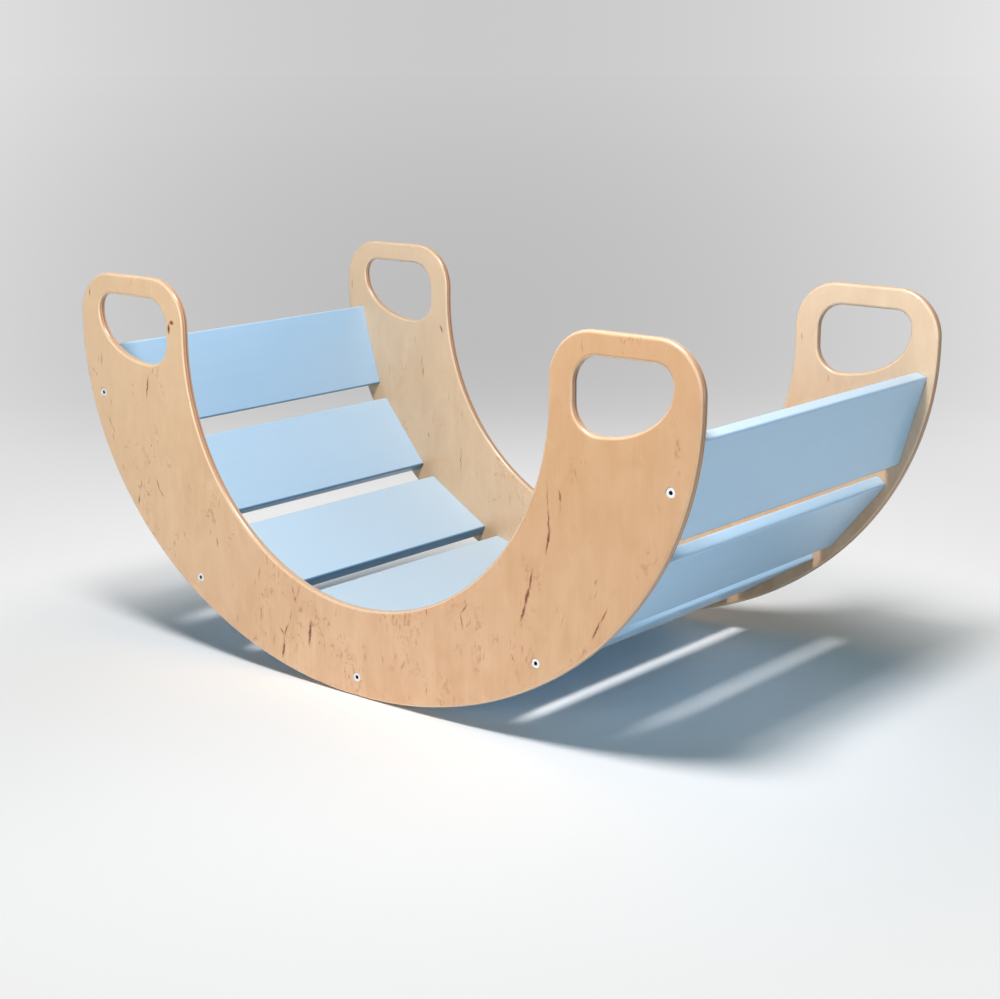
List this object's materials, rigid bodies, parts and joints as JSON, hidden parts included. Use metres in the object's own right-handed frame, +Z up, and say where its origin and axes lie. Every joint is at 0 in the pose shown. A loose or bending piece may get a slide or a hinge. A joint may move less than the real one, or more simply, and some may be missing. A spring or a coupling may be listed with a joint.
{
  "type": "wooden rocker seesaw",
  "caption": "U-shaped wooden rocking seesaw: two curved plywood side panels with hand holes, joined by pale blue slats that form a rounded double seat.",
  "frame": {"origin": "on the floor, midway along and across, under the lowest point of the rockers", "axes": "+X along the seesaw from one raised end to the other, +Y across it from the front panel to the back panel, +Z up"},
  "size_m": [0.85, 0.445, 0.416],
  "materials": {
    "plywood": "clear satin lacquer on birch plywood, upright grain with short dark mineral streaks, bare ply layers on the edges",
    "painted_slat": "pale blue satin paint over fine wood grain",
    "screw_steel": "bright zinc plating"
  },
  "bodies": {
    "root": {"side_panel_front": "plywood", "side_panel_back": "plywood", "slat_1": "painted_slat", "slat_2": "painted_slat", "slat_3": "painted_slat", "slat_4": "painted_slat", "slat_5": "painted_slat", "slat_6": "painted_slat", "slat_7": "painted_slat", "slat_8": "painted_slat", "slat_9": "painted_slat", "screw_front_1": "screw_steel", "screw_front_2": "screw_steel", "screw_front_3": "screw_steel", "screw_front_4": "screw_steel", "screw_front_5": "screw_steel", "screw_back_1": "screw_steel", "screw_back_2": "screw_steel", "screw_back_3": "screw_steel", "screw_back_4": "screw_steel", "screw_back_5": "screw_steel"}
  },
  "joints": []
}
